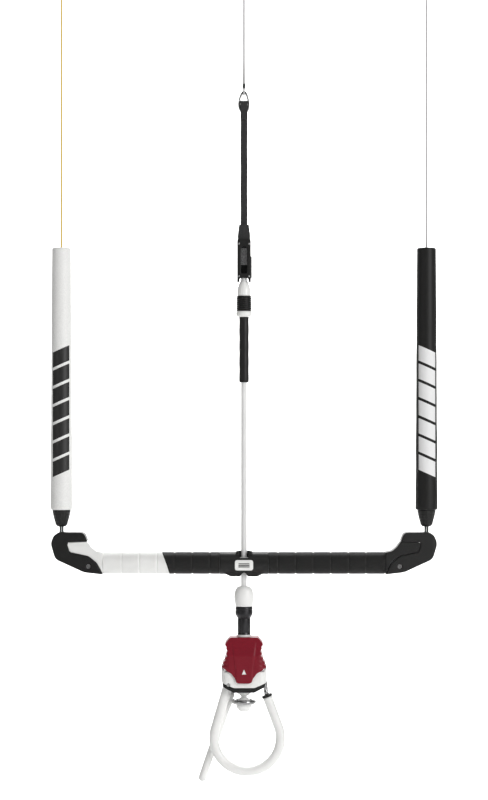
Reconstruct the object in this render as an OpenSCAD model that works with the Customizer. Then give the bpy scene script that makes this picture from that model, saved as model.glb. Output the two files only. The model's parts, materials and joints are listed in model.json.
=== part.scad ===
// Kitesurf control bar: chicken loop and quick release, depower line, sliding and steering bar,
// trimmer, two floats and three flying lines. Millimetres, +Z up along the lines.
// The origin is the seat of the harness hook, at the bottom of the chicken loop's opening.

/* [Bar] */
// Half the distance between the two steering lines
line_x = 247; // [240:1:260]
// Height of the bar's axis above the hook seat
bar_z = 275.5; // [272:0.5:300]
// Radius of the grip
grip_r = 14.9; // [14.5:0.1:15.5]
// Half length of the gripped part of the bar
grip_x = 190.4; // [186:0.2:194]
// Spacing of the grooves round the grip
groove_pitch = 23.8; // [20:0.2:26]
// Radius of the aluminium core tubes
core_r = 7.9; // [7:0.1:8.5]
// Radius of the ball bushing that the depower line runs through
bushing_r = 9; // [8.6:0.1:9.4]
// Clearance between pieces that move on each other
clearance = 0.3; // [0.25:0.05:0.4]

/* [Bar ends] */
// Height of the top of a bar end above the hook seat
end_top_z = 317.2; // [314:0.2:322]
// Half thickness of a bar end where it meets the grip
end_y = 14.4; // [13:0.1:14.8]
// Height of the knot that a leader swings on
leader_z = 308; // [306:0.5:309]

/* [Floats] */
// Height of the bottom of a float above the hook seat
float_z = 347.6; // [345:0.2:355]
// Length of a float
float_len = 354.4; // [340:1:380]
// Radius of a float at its bottom
float_r1 = 15; // [14:0.1:16]
// Radius of a float at its top
float_r2 = 12.9; // [12:0.1:14]
// Radius of the channel through a float
float_bore_r = 3.3; // [3.2:0.1:4]

/* [Depower line and trimmer] */
// Radius of the coated depower line
depower_r = 4; // [3.8:0.1:4]
// Height of the bottom of the stopper sleeve
sleeve_z = 520; // [515:1:530]
// Height of the top of the stopper sleeve
sleeve_top_z = 610; // [606:1:614]
// Radius of the stopper sleeve
sleeve_r = 6.55; // [6.2:0.05:6.6]
// Height of the bottom of the cleat
cleat_z = 655; // [652:1:658]
// Height of the cleat
cleat_h = 58; // [54:1:62]
// Width of the trim strap
strap_w = 9.5; // [8.5:0.1:9.8]
// Height of the lowest point of the thimble's centreline
thimble_z = 885.7; // [870:0.1:900]

/* [Quick release] */
// Half width of the release body
release_x = 31; // [30:0.2:32]
// Half depth of the release body
release_y = 17; // [16:0.2:17.2]
// Radius of the tube that the release sleeve slides on
tube_r = 8.75; // [8.5:0.05:8.8]
// Height of the top of the release sleeve
release_top_z = 176; // [174:0.5:178]
// Radius of the stopper ball
ball_r = 10.7; // [10.5:0.1:10.9]
// Radius of the leash ring's wire
ring_wire_r = 3.1; // [2.8:0.1:3.2]

/* [Chicken loop] */
// Radius of the loop's round bottom, to the middle of its tube
loop_r = 45; // [44:0.5:46]
// Radius of the loop's tube
loop_tube_r = 6.5; // [6:0.1:6.6]
// Radius of the finger
finger_r = 5.4; // [5:0.1:5.6]

/* [Hidden] */
$fn = 64;
line_r = 1.5;                       // flying lines
line_top_z = 1046;                  // where a flying line ends in its knot
float_top_z = float_z + float_len;
sweep_sides = 8;

// Routes of the three flying lines, from the bottom up.
LEFT_LINE = [
    [-247, 0, 680], [-247, 0, 700], [-247, 0, 725], [-247, 0, 750], [-247, 0, 775],
    [-247, 0, 800], [-247, 0, 825], [-247, 0, 850], [-247, 0, 875], [-247, 0, 900],
    [-247, 0, 925], [-247, 0, 950], [-247, 0, 975], [-247, 0, 1000], [-247, 0, 1025],
    [-247, 0, 1046]];
RIGHT_LINE = [
    [247, 0, 680], [247, 0, 700], [247, 0, 725], [247, 0, 750], [247, 0, 775],
    [247, 0, 800], [247, 0, 825], [247, 0, 850], [247, 0, 875], [247, 0, 900],
    [247, 0, 925], [247, 0, 950], [247, 0, 975], [247, 0, 1000], [247, 0, 1025],
    [247, 0, 1046]];
FRONT_LINE = [
    [0, 0, 950], [0, 0, 956], [0, 0, 962], [0, 0, 968], [0, 0, 974], [0, 0, 980],
    [0, 0, 986], [0, 0, 992], [0, 0, 998], [0, 0, 1004], [0, 0, 1010], [0, 0, 1016],
    [0, 0, 1022], [0, 0, 1030], [0, 0, 1038], [0, 0, 1046]];

// Chicken loop: a round bottom with one straight leg up to each side of the release.
loop_c = [4.3, loop_r - loop_tube_r];     // centre of the round bottom, in X and Z
pivot = [-21, 112];                       // the loop's hinge pin
gate_top = [31.8, 94];                    // upper end of the right leg
loop_open = 65;                           // how far the loop opens, in degrees
left_touch = tangent_angle(pivot, 1);
right_touch = tangent_angle(gate_top, -1);
left_foot = loop_c + loop_r * [cos(left_touch), sin(left_touch)];
right_foot = loop_c + loop_r * [cos(right_touch), sin(right_touch)];

// Release: body, sleeve and swivel, from the bottom up.
base_z = 101.5;                           // lowest face of the black base
ball_z = 83.9;                            // centre of the stopper ball
ring_r = 13.5;                            // leash ring, to the middle of its wire
ring_z = ball_z + sqrt(pow(ball_r + ring_wire_r + clearance, 2) - pow(ring_r, 2));
shelf_z = 130;                            // the shelf inside the sleeve, under the spring
shelf_h = 3;
stop_z = 168;                             // the flange above the spring
sleeve_travel = 20;
tube_top_z = 201;
collar_top_z = 216.6;
dome_top_z = 244.4;
core_gap = 17;                            // from the bar's middle to a core tube's end
housing_x = 33;                           // half length of the centre housing
housing_r = grip_r + 0.3;
thimble_r = 6.9;                          // half width of the thimble's centreline
thimble_h = 27.3;                         // height of the thimble's centreline
thimble_wire_r = 1.6;
cone_z = 637;                             // bottom of the line guide under the cleat
handle_z = 608.3;                         // bottom of the trim handle

// ---- Functions ----

function unit(v) = v / norm(v);

// Angle at which a line from point p touches the loop's round bottom, on the side given by turn.
function tangent_angle(p, turn) =
    let (d = p - loop_c)
    atan2(d[1], d[0]) + turn * acos(loop_r / norm(d));

// Points of the arc that rounds the corner p between a and b with radius r.
function corner(a, p, b, r, steps) =
    let (u = unit(a - p), v = unit(b - p), half = acos(u * v) / 2,
         c = p + unit(u + v) * r / sin(half),
         s = p + u * r / tan(half) - c,
         e = p + v * r / tan(half) - c,
         a0 = atan2(s[1], s[0]),
         turn = (atan2(e[1], e[0]) - a0 + 540) % 360 - 180)
    [for (i = [0 : steps]) c + r * [cos(a0 + turn * i / steps), sin(a0 + turn * i / steps)]];

// An outline of [x, z, corner radius] points with its corners rounded.
function rounded(points, steps = 6) =
    let (n = len(points), flat = [for (p = points) [p[0], p[1]]])
    [for (i = [0 : n - 1])
        each points[i][2] > 0
            ? corner(flat[(i + n - 1) % n], flat[i], flat[(i + 1) % n], points[i][2], steps)
            : [flat[i]]];

// A half outline of x >= 0 completed by its mirror image, bottom to top and back down.
function mirrored(half) =
    concat(half, [for (i = [len(half) - 1 : -1 : 0]) [-half[i][0], half[i][1], half[i][2]]]);

// A helix of the given radius between two heights.
function helix(r, z0, z1, turns, steps) =
    [for (i = [0 : turns * steps])
        [r * cos(360 * i / steps), r * sin(360 * i / steps),
         z0 + (z1 - z0) * i / (turns * steps)]];

// One ring of points around p, square to direction d.
function ring_at(p, d, r, sides) =
    let (u = unit(cross(d, abs(d[1]) < 0.9 * norm(d) ? [0, 1, 0] : [1, 0, 0])),
         v = unit(cross(d, u)))
    [for (k = [0 : sides - 1])
        p + r * (cos(360 * k / sides) * u + sin(360 * k / sides) * v)];

// ---- Shared shapes ----

// A closed tube along a route of points.
module swept(route, r, sides = sweep_sides) {
    last = len(route) - 1;
    points = [for (i = [0 : last])
        each ring_at(route[i], route[min(i + 1, last)] - route[max(i - 1, 0)], r, sides)];
    walls = [for (i = [0 : last - 1], k = [0 : sides - 1])
        let (a = i * sides, n = (k + 1) % sides)
        [a + k, a + n, a + n + sides, a + k + sides]];
    first_cap = [for (k = [sides - 1 : -1 : 0]) k];
    last_cap = [for (k = [0 : sides - 1]) last * sides + k];
    polyhedron(points, concat(walls, [first_cap, last_cap]), convexity = 10);
}

// An X-Z outline extruded along Y, centred on the X-Z plane.
module plate(thickness) {
    rotate([90, 0, 0]) linear_extrude(thickness, center = true) children();
}

// A round bar between two points of the X-Z plane.
module strut(a, b, r) {
    d = b - a;
    translate([a[0], 0, a[1]])
        rotate([0, 90 - atan2(d[1], d[0]), 0])
            cylinder(r = r, h = norm(d));
}

// A cylinder along X between two places.
module along_x(x0, x1, r) {
    translate([x0, 0, bar_z]) rotate([0, 90, 0]) cylinder(r = r, h = x1 - x0);
}

// A ring with a round section, lying in the X-Y plane.
module torus(r, wire_r) {
    rotate_extrude() translate([r, 0]) circle(wire_r);
}

// A tube along Z.
module pipe(z0, z1, r, bore) {
    translate([0, 0, z0]) difference() {
        cylinder(r = r, h = z1 - z0);
        translate([0, 0, -1]) cylinder(r = bore, h = z1 - z0 + 2);
    }
}

// ---- Release body and what hangs on it ----

// The room that the loop's left leg needs as it swings open.
module leg_room(thickness) {
    r = loop_tube_r + 0.6;
    shut = unit(left_foot - pivot);
    turned = [shut[0] * cos(loop_open) + shut[1] * sin(loop_open),
              shut[1] * cos(loop_open) - shut[0] * sin(loop_open)];
    inner = pivot + r * [-shut[1], shut[0]];
    upper = pivot + r * [turned[1], -turned[0]];
    plate(thickness) polygon([inner, inner + 60 * shut, pivot + 60 * (shut + turned),
                              upper + 60 * turned, upper]);
    translate([pivot[0], 0, pivot[1]]) rotate([90, 0, 0])
        cylinder(r = r, h = thickness, center = true);
}

// The slot that the gate pin drops out of, and the hole for the loop's hinge pin.
module release_cuts() {
    leg_room(2 * loop_tube_r + 1.4);
    translate([24.1, -3.8, 90]) cube([20, 7.6, 34]);
    translate([pivot[0], 0, pivot[1]]) rotate([90, 0, 0])
        cylinder(r = 2.55, h = 60, center = true);
}

// The oval seen from above that the release keeps inside.
module release_plan(z0, z1, half_x, half_y) {
    translate([0, 0, z0]) linear_extrude(z1 - z0)
        polygon(rounded([[half_x, -half_y, 11], [half_x, half_y, 11],
                         [-half_x, half_y, 11], [-half_x, -half_y, 11]]));
}

module collar_body() {
    outline = mirrored([[14, 108, 4], [release_x - 1, 114.6, 2], [release_x, 134.1, 0.8],
                        [27.4, 132.8, 0], [27.4, shelf_z - 0.4, 0]]);
    color("whitesmoke") difference() {
        intersection() {
            plate(60) polygon(rounded(outline));
            release_plan(100, 140, release_x, release_y);
        }
        release_cuts();
    }
}

module base_plate() {
    outline = mirrored([[14, base_z, 3], [28.4, 109, 1], [29.4, 114.35, 0],
                        [14, 107.6, 3]]);
    color([0.12, 0.12, 0.12]) difference() {
        intersection() {
            plate(60) polygon(rounded(outline));
            release_plan(90, 140, release_x - 0.5, release_y - 0.5);
        }
        release_cuts();
    }
}

module loop_pivot_pin() {
    color("silver") translate([pivot[0], 0, pivot[1]]) rotate([90, 0, 0])
        cylinder(r = 2.5, h = 2 * release_y - 6, center = true);
}

module safety_funnel() {
    color("whitesmoke") rotate_extrude()
        polygon([[0, ball_z + ball_r + 0.05], [4.2, ball_z + ball_r + 0.05], [4.2, 95.5],
                 [9.8, 100], [9.8, base_z - 0.1], [0, base_z - 0.1]]);
}

module stopper_ball() {
    color("whitesmoke") translate([0, 0, ball_z]) sphere(ball_r);
}

module leash_ring() {
    color("silver") translate([0, 0, ring_z]) torus(ring_r, ring_wire_r);
}

module swivel_tube() {
    color([0.15, 0.15, 0.15]) {
        pipe(shelf_z - 0.35, tube_top_z, tube_r, 6);
        pipe(stop_z, stop_z + 2, 13, tube_r - 0.5);
    }
}

module tube_ring() {
    color("whitesmoke") pipe(174.3, 178.7, 9.6, tube_r + 0.05);
}

module swivel_collar() {
    color([0.1, 0.1, 0.1]) rotate_extrude()
        polygon([[0, tube_top_z], [tube_r, tube_top_z], [11.8, 206.5], [11.8, collar_top_z - 1],
                 [10.8, collar_top_z], [4.4, collar_top_z], [4.4, 214], [9.5, 214],
                 [9.5, 205], [0, 205]]);
}

module swivel_bearing() {
    color("silver") for (a = [0 : 45 : 315])
        rotate([0, 0, a]) translate([6.9, 0, 211.3]) sphere(2.3);
}

module release_sleeve() {
    outline = mirrored([[7.5, 114.4, 2], [10.4, 115.8, 1], [12.2, 121, 4], [17.6, 128, 4],
                        [30.2, 134.8, 1], [30.7, 137, 1], [26.7, 146.6, 5], [24.6, 152, 5],
                        [23.8, 160, 5], [26.2, 167, 4], [19.1, release_top_z, 5]]);
    wall_y = release_y + 3.9;
    color([0.52, 0.08, 0.13]) difference() {
        intersection() {
            plate(60) polygon(rounded(outline));
            release_plan(110, 180, release_x, wall_y);
            rotate([0, 0, 90]) plate(80) polygon(
                [[-wall_y, 110], [wall_y, 110], [wall_y, 152], [wall_y - 3, 162],
                 [wall_y - 5, 178], [5 - wall_y, 178], [3 - wall_y, 162], [-wall_y, 152]]);
        }
        release_plan(100, shelf_z, release_x + clearance, release_y + clearance + 0.1);
        translate([-40, -release_y - 0.4, 100]) cube([80, 2 * release_y + 0.8, 20]);
        translate([0, 0, shelf_z - 1]) cylinder(r = tube_r + clearance, h = 60);
        translate([0, 0, shelf_z + shelf_h]) cylinder(r = 13.6, h = 172 - shelf_z - shelf_h);
        translate([0, 0, 171]) cylinder(r = 9.9, h = 10);
    }
}

module release_spring() {
    color("silver") swept(helix(11.2, shelf_z + shelf_h + 1.3, stop_z - 1.3, 5, 14), 1.1, 6);
}

// ---- Chicken loop and finger ----

module chicken_loop() {
    leg_r = loop_tube_r - 0.05;           // a hair slimmer, so that the legs end inside the curve
    color("whitesmoke") difference() {
        union() {
            strut(pivot, left_foot + 1.5 * unit(left_foot - pivot), leg_r);
            translate([pivot[0], 0, pivot[1]]) sphere(leg_r);
            strut(right_foot + 1.5 * unit(right_foot - gate_top), gate_top, leg_r);
            translate([loop_c[0], 0, loop_c[1]]) rotate([90, 0, 0])
                rotate([0, 0, left_touch])
                    rotate_extrude(angle = 360 + right_touch - left_touch)
                        translate([loop_r, 0]) circle(loop_tube_r);
        }
        translate([pivot[0], 0, pivot[1]]) rotate([90, 0, 0])
            cylinder(r = 2.55, h = 40, center = true);
    }
}

module loop_end_collar() {
    leg = unit(gate_top - right_foot);
    color([0.1, 0.1, 0.1])
        strut(gate_top + 0.1 * leg, gate_top + 7 * leg, loop_tube_r + 0.7);
}

module gate_pin() {
    color("silver") strut(gate_top + 7.6 * unit(gate_top - right_foot), [27.8, 116], 3.1);
}

module finger() {
    top = [-18.1, 95.7];
    tip = [-56.5, -17];
    color("whitesmoke") translate([0, 12.8, 0]) {
        strut(top, tip, finger_r);
        for (p = [top, tip]) translate([p[0], 0, p[1]]) sphere(finger_r - 0.03);
    }
}

module finger_strap() {
    color("whitesmoke") translate([0, 12.8, 0]) difference() {
        strut([-20.4, 89], [-23.2, 80.8], finger_r + 0.7);
        strut([-18.1, 95.7], [-56.5, -17], finger_r + 0.05);
    }
}

// ---- Swivel, depower line and cleat ----

module swivel_shaft() {
    color("silver") {
        pipe(205.4, 226, 3.9, 1.5);
        pipe(205.4, 208.4, 8.6, 3.5);
    }
}

module swivel_dome() {
    low = collar_top_z + clearance;
    color("whitesmoke") rotate_extrude()
        polygon(rounded([[depower_r + 0.1, low, 0], [11.6, low, 0.6], [13.5, 228, 9],
                         [12.6, 238, 6], [8.6, dome_top_z, 2],
                         [depower_r + 0.1, dome_top_z, 0]]));
}

module depower_line() {
    color("whitesmoke") translate([0, 0, 226.5]) cylinder(r = depower_r, h = 438);
}

module stopper_sleeve() {
    color([0.1, 0.1, 0.1]) pipe(sleeve_z, sleeve_top_z, sleeve_r, depower_r + 0.1);
}

module line_guide() {
    color("whitesmoke") difference() {
        rotate_extrude()
            polygon([[depower_r + 0.1, cone_z], [9, cone_z], [9, cone_z + 4],
                     [5, cone_z + 20], [depower_r + 0.1, cone_z + 20]]);
        translate([0, 0, cone_z - 1]) cylinder(r = 8.5, h = 5);
    }
}

module trim_lines() {
    color([0.2, 0.2, 0.2]) for (x = [-7.5, 7.5])
        translate([x, 0, cone_z + 0.3]) cylinder(r = 0.8, h = 3.5);
}

module cleat_body() {
    outline = mirrored([[5.4, cleat_z + 6, 0], [7, cleat_z, 0], [9.2, cleat_z, 0.6],
                        [9.2, cleat_z + cleat_h, 1.5]]);
    color([0.13, 0.13, 0.13]) difference() {
        union() {
            plate(17) polygon(rounded(outline));
            translate([8, -5, cleat_z + 6]) cube([2.6, 10, 29]);
        }
        translate([-5.3, -2.2, cleat_z - 1]) cube([10.6, 8.2, cleat_h + 2]);
        translate([0, 0, cleat_z - 1]) cylinder(r = 5.3, h = 20);
        translate([0, -6, 0]) plate(12) polygon(
            [for (a = [0 : 15 : 180]) [4.1 * cos(a), cleat_z + cleat_h - 13 + 4.1 * sin(a)],
             [-4.1, cleat_z + 12], [4.1, cleat_z + 12]]);
    }
}

module cleat_jaw() {
    color("silver") translate([-4.8, 2.2, cleat_z + 24]) difference() {
        cube([9.6, 3.6, 24]);
        for (z = [2 : 4 : 22])
            translate([-1, -0.4, z]) rotate([45, 0, 0]) cube([12, 1, 1]);
    }
}

module cleat_mouth() {
    z0 = cleat_z + cleat_h + 0.1;
    color([0.13, 0.13, 0.13]) difference() {
        rotate([90, 0, 0]) linear_extrude(9, center = true)
            polygon([[-8.4, z0], [8.4, z0], [8.4, z0 + 6], [6.6, z0 + 20], [-6.6, z0 + 20],
                     [-8.4, z0 + 6]]);
        translate([-strap_w / 2 - 0.4, -1.9, z0 - 1]) cube([strap_w + 0.8, 3.8, 30]);
    }
}

// ---- Trim handle, strap and thimble ----

module trim_grip() {
    ribs = 5;
    z0 = handle_z + 8.2;
    h = cone_z - clearance - z0;
    color([0.12, 0.12, 0.12]) difference() {
        translate([0, 0, z0]) cylinder(r = 10.35, h = h);
        translate([0, 0, z0 - 1]) cylinder(r = sleeve_r + 0.4, h = 40);
        for (i = [1 : ribs])
            translate([0, 0, z0 + i * h / (ribs + 1)]) torus(10.6, 0.7);
    }
}

module trim_rim() {
    color("whitesmoke") pipe(handle_z, handle_z + 8, 10.8, sleeve_r + 0.4);
}

module trim_strap() {
    color([0.3, 0.3, 0.3]) translate([-strap_w / 2, -1.5, cleat_z + cleat_h - 11])
        cube([strap_w, 3, thimble_z - 10 - cleat_z - cleat_h + 11]);
}

module strap_head() {
    z0 = thimble_z - 9.9;
    color([0.2, 0.2, 0.2]) difference() {
        translate([-4.9, -4.2, z0]) cube([9.8, 8.4, 25]);
        for (z = [0.3, 2.6])
            translate([-10, 0, thimble_z + z]) rotate([0, 90, 0]) cylinder(r = 2.3, h = 20);
    }
}

module thimble() {
    low = thimble_z + thimble_r;
    high = thimble_z + thimble_h - thimble_r;
    color("silver") {
        translate([0, 0, low]) rotate([90, 0, 0]) rotate([0, 0, 180])
            rotate_extrude(angle = 180) translate([thimble_r, 0]) circle(thimble_wire_r);
        translate([0, 0, high]) rotate([90, 0, 0])
            rotate_extrude(angle = 180) translate([thimble_r, 0]) circle(thimble_wire_r);
        for (x = [-thimble_r, thimble_r])
            translate([x, 0, low]) cylinder(r = thimble_wire_r, h = high - low);
    }
}

module front_line_eye() {
    z = thimble_z + thimble_h;
    color("gray") {
        translate([0, 0, z]) rotate([0, 90, 0]) torus(3.5, 1.3);
        translate([0, 0, z + 3.6]) cylinder(r = 2, h = 950 - z - 3.6);
    }
}

module front_line() { color("gray") swept(FRONT_LINE, line_r); }

// The knot and the open loop that end a flying line.
module line_end(x) {
    translate([x, 0, line_top_z + 3]) sphere(3);
    translate([x, 0, line_top_z + 15]) rotate([90, 0, 0]) torus(9.5, 1.1);
}

module front_line_end() { color("gray") line_end(0); }

// ---- Bar ----

module ball_bushing() {
    color("whitesmoke") translate([0, 0, bar_z]) difference() {
        intersection() {
            sphere(bushing_r);
            cube([30, 30, 15.2], center = true);
        }
        cylinder(r = depower_r + 0.35, h = 30, center = true);
    }
}

module centre_housing() {
    under = bar_z - housing_r;
    color([0.12, 0.12, 0.12]) difference() {
        union() {
            along_x(-housing_x, housing_x, housing_r);
            plate(17) polygon(rounded([[-31.8, under + 4, 0], [-18, under - 2.8, 8],
                                       [18, under - 2.8, 8], [31.8, under + 4, 0]]));
            plate(19) polygon(rounded([[-11.5, bar_z + 10, 0], [11.5, bar_z + 10, 0],
                                       [10.5, bar_z + 16.4, 1], [-10.5, bar_z + 16.4, 1]]));
        }
        translate([0, 0, bar_z]) sphere(bushing_r + clearance);
        for (side = [0, 180]) translate([0, 0, bar_z]) rotate([side, 0, 0])
            translate([0, 0, 5]) cylinder(r1 = 6.2, r2 = 10, h = 14);
        translate([-6.2, -20, bar_z + 7.5]) cube([12.4, 20, 12]);
        along_x(core_gap, housing_x + 1, core_r + 0.1);
        along_x(-housing_x - 1, -core_gap, core_r + 0.1);
    }
}

module centre_badge() {
    z = bar_z - 2.3;
    color("whitesmoke") intersection() {
        difference() {
            along_x(-20, 20, housing_r + 0.8);
            along_x(-21, 21, housing_r + 0.05);
        }
        translate([0, -10, 0]) plate(20) polygon(
            rounded([[-12.3, z - 7.1, 3], [12.3, z - 7.1, 3], [12.3, z + 7.1, 3],
                     [-12.3, z + 7.1, 3]]));
    }
}

module core_left() {
    color("silver") difference() {
        along_x(-202, -core_gap - 0.2, core_r);
        along_x(-203, 0, core_r - 1.5);
    }
}

module core_right() {
    color("silver") difference() {
        along_x(core_gap + 0.2, 202, core_r);
        along_x(0, 203, core_r - 1.5);
    }
}

// The left grip's colour changes along this slanted cut.
module grip_cut() {
    translate([-105, 0, bar_z]) rotate([0, -19, 0]) translate([-200, -30, -60])
        cube([200, 60, 120]);
}

// One side's grip, a tube with grooves round it.
module grip(side) {
    inner = housing_x + 0.1;
    difference() {
        along_x(side > 0 ? inner : -grip_x, side > 0 ? grip_x : -inner, grip_r);
        along_x(-200, 200, core_r + 0.1);
        for (i = [2 : 7])
            translate([side * (i * groove_pitch - 1.5), 0, bar_z]) rotate([0, 90, 0])
                torus(grip_r + 0.3, 0.9);
    }
}

module grip_left_white() {
    color("whitesmoke") intersection() { grip(-1); grip_cut(); }
}

module grip_left_black() {
    color([0.12, 0.12, 0.12]) difference() { grip(-1); grip_cut(); }
}

module grip_right_black() { color([0.12, 0.12, 0.12]) grip(1); }

// The bar end seen from above: full depth at the grip and slimmer at the tip.
module end_plan(y) {
    tip = line_x + 15;
    translate([0, 0, 250]) linear_extrude(80)
        polygon(rounded([[-grip_x - 0.1, -y, 0], [-grip_x - 0.1, y, 0],
                         [-225, y - 2, 30], [-tip, y - 4.5, 7], [-tip, 4.5 - y, 7],
                         [-225, 2 - y, 30]]));
}

// Holes through a bar end: the core tube, the screw and the flared leader hole.
module end_cuts() {
    along_x(-203, -180, core_r + 0.1);
    translate([-210, 0, 271.6]) rotate([90, 0, 0]) {
        cylinder(r = 1.6, h = 60, center = true);
        translate([0, 0, end_y - 3.4]) cylinder(r = 3.1, h = 20);
    }
    translate([-line_x, 0, leader_z - 4.4]) cylinder(r = 4.4, h = 30);
    translate([-line_x, 0, leader_z + 2]) cylinder(r1 = 4.4, r2 = 6.4, h = 9);
}

module end_cover() {
    top = end_top_z;
    color([0.12, 0.12, 0.12]) difference() {
        intersection() {
            plate(60) polygon(rounded(
                [[-grip_x - 0.2, 260.6, 0], [-216, 263.4, 24], [-255, 281, 12],
                 [-line_x - 14.5, 302, 12], [-255.5, top, 12], [-216, top, 7],
                 [-211.2, 305.2, 1], [-239.7, 303.8, 3], [-235.6, 290.4, 5],
                 [-210, 285.2, 14], [-199, 276, 10]]));
            end_plan(end_y);
        }
        end_cuts();
    }
}

module end_body() {
    color("whitesmoke") difference() {
        intersection() {
            plate(60) polygon(rounded(
                [[-grip_x - 0.1, 290.3, 0], [-grip_x - 0.1, 261.8, 0], [-198.6, 276.6, 10],
                 [-209.8, 285.6, 14], [-235.4, 290.8, 5], [-239.3, 303.4, 3],
                 [-211.4, 304.9, 1], [-206, 297.5, 6], [-200, 292.4, 8]]));
            end_plan(end_y - 0.7);
        }
        end_cuts();
    }
}

module end_cover_left() { end_cover(); }
module end_cover_right() { mirror([1, 0, 0]) end_cover(); }
module end_body_left() { end_body(); }
module end_body_right() { color([0.12, 0.12, 0.12]) mirror([1, 0, 0]) end_body(); }

module end_screws() {
    color("silver") for (x = [-210, 210]) translate([x, 0, 271.6]) rotate([90, 0, 0]) {
        translate([0, 0, 10.9 - end_y]) cylinder(r = 1.5, h = 2 * end_y - 14.4);
        translate([0, 0, end_y - 3.3]) difference() {
            cylinder(r = 2.95, h = 2);
            translate([0, 0, 0.8]) cylinder(r = 1.5, h = 3, $fn = 6);
        }
    }
}

// ---- Leaders, floats and steering lines ----

module leader(x) {
    color([0.25, 0.28, 0.25]) translate([x, 0, leader_z]) {
        sphere(4);
        for (s = [-1.5, 1.5]) translate([s, 0, 0]) cylinder(r = 1.45, h = 90);
    }
}

module leader_left() { leader(-line_x); }
module leader_right() { leader(line_x); }

module float_cone(x) {
    color([0.12, 0.12, 0.12]) translate([x, 0, 0]) difference() {
        rotate_extrude() polygon(rounded(
            [[0, 324.8, 0], [7.5, 324.8, 3], [12.6, float_z - 0.2, 0], [0, float_z - 0.2, 0]]));
        translate([0, 0, 320]) cylinder(r = float_bore_r, h = 40);
    }
}

module float_cone_left() { float_cone(-line_x); }
module float_cone_right() { float_cone(line_x); }

module float_tube(x) {
    translate([x, 0, 0]) difference() {
        rotate_extrude() polygon(rounded(
            [[0, float_z, 0], [float_r1, float_z, 1.5], [float_r2, float_top_z, 2.5],
             [0, float_top_z, 0]]));
        translate([0, 0, 340]) cylinder(r = float_bore_r, h = 400);
    }
}

module float_left() { color("whitesmoke") float_tube(-line_x); }
module float_right() { color([0.1, 0.1, 0.1]) float_tube(line_x); }
module steering_line_left() { color("goldenrod") swept(LEFT_LINE, line_r); }
module steering_line_right() { color("gray") swept(RIGHT_LINE, line_r); }
module line_end_left() { color("goldenrod") line_end(-line_x); }
module line_end_right() { color("gray") line_end(line_x); }

collar_body();
base_plate();
loop_pivot_pin();
safety_funnel();
stopper_ball();
swivel_tube();
tube_ring();
swivel_collar();
swivel_bearing();
release_sleeve();
release_spring();
chicken_loop();
loop_end_collar();
gate_pin();
leash_ring();
finger();
finger_strap();
swivel_shaft();
swivel_dome();
depower_line();
stopper_sleeve();
line_guide();
trim_lines();
cleat_body();
cleat_jaw();
cleat_mouth();
trim_grip();
trim_rim();
trim_strap();
strap_head();
thimble();
front_line_eye();
front_line();
front_line_end();
ball_bushing();
centre_housing();
centre_badge();
core_left();
core_right();
grip_left_white();
grip_left_black();
grip_right_black();
end_body_left();
end_body_right();
end_cover_left();
end_cover_right();
end_screws();
leader_left();
leader_right();
float_cone_left();
float_cone_right();
float_left();
float_right();
steering_line_left();
steering_line_right();
line_end_left();
line_end_right();
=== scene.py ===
"""Looks of the kitesurf control bar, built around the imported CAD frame. Metres, +Z up, camera on -Y."""

import json
import math

import bmesh
import bpy
import numpy as np
from mathutils import Matrix, Vector


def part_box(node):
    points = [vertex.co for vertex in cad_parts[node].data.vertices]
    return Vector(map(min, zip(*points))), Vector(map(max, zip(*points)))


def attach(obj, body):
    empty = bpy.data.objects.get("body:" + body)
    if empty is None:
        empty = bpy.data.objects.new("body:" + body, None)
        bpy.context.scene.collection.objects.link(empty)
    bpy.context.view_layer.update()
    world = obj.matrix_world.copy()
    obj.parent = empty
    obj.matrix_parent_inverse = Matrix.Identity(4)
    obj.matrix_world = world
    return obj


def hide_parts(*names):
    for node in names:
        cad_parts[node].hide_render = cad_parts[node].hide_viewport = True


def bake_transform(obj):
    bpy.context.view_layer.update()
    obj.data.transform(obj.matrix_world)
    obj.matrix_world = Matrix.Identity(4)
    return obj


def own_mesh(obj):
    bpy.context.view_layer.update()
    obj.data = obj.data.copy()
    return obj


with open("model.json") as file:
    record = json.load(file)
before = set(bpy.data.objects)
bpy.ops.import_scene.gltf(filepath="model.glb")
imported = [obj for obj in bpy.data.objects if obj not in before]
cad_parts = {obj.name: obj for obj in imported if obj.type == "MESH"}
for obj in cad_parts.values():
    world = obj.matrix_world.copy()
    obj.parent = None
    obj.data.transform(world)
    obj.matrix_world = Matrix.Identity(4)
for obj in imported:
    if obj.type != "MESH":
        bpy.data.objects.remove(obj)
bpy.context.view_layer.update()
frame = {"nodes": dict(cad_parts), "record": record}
MM = 0.001

# ---- Camera, light and floor ----

VIEW_HEIGHT = 1.083          # height of the picture in the plane of the bar
CAMERA_AT = (0.0, -3.2, 0.496)
SENSOR = 36.0


def make_camera():
    data = bpy.data.cameras.new("camera")
    data.sensor_width = SENSOR
    data.lens = SENSOR * -CAMERA_AT[1] / VIEW_HEIGHT
    data.dof.use_dof = False
    camera = bpy.data.objects.new("camera", data)
    camera.location = CAMERA_AT
    camera.rotation_euler = (math.radians(90), 0, 0)
    bpy.context.scene.collection.objects.link(camera)
    bpy.context.scene.camera = camera


def make_light(name, place, size, power, aim):
    data = bpy.data.lights.new(name, "AREA")
    data.shape = "RECTANGLE"
    data.size, data.size_y = size
    data.energy = power
    light = bpy.data.objects.new(name, data)
    light.location = place
    light.rotation_euler = (Vector(aim) - Vector(place)).to_track_quat("-Z", "Y").to_euler()
    bpy.context.scene.collection.objects.link(light)


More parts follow.
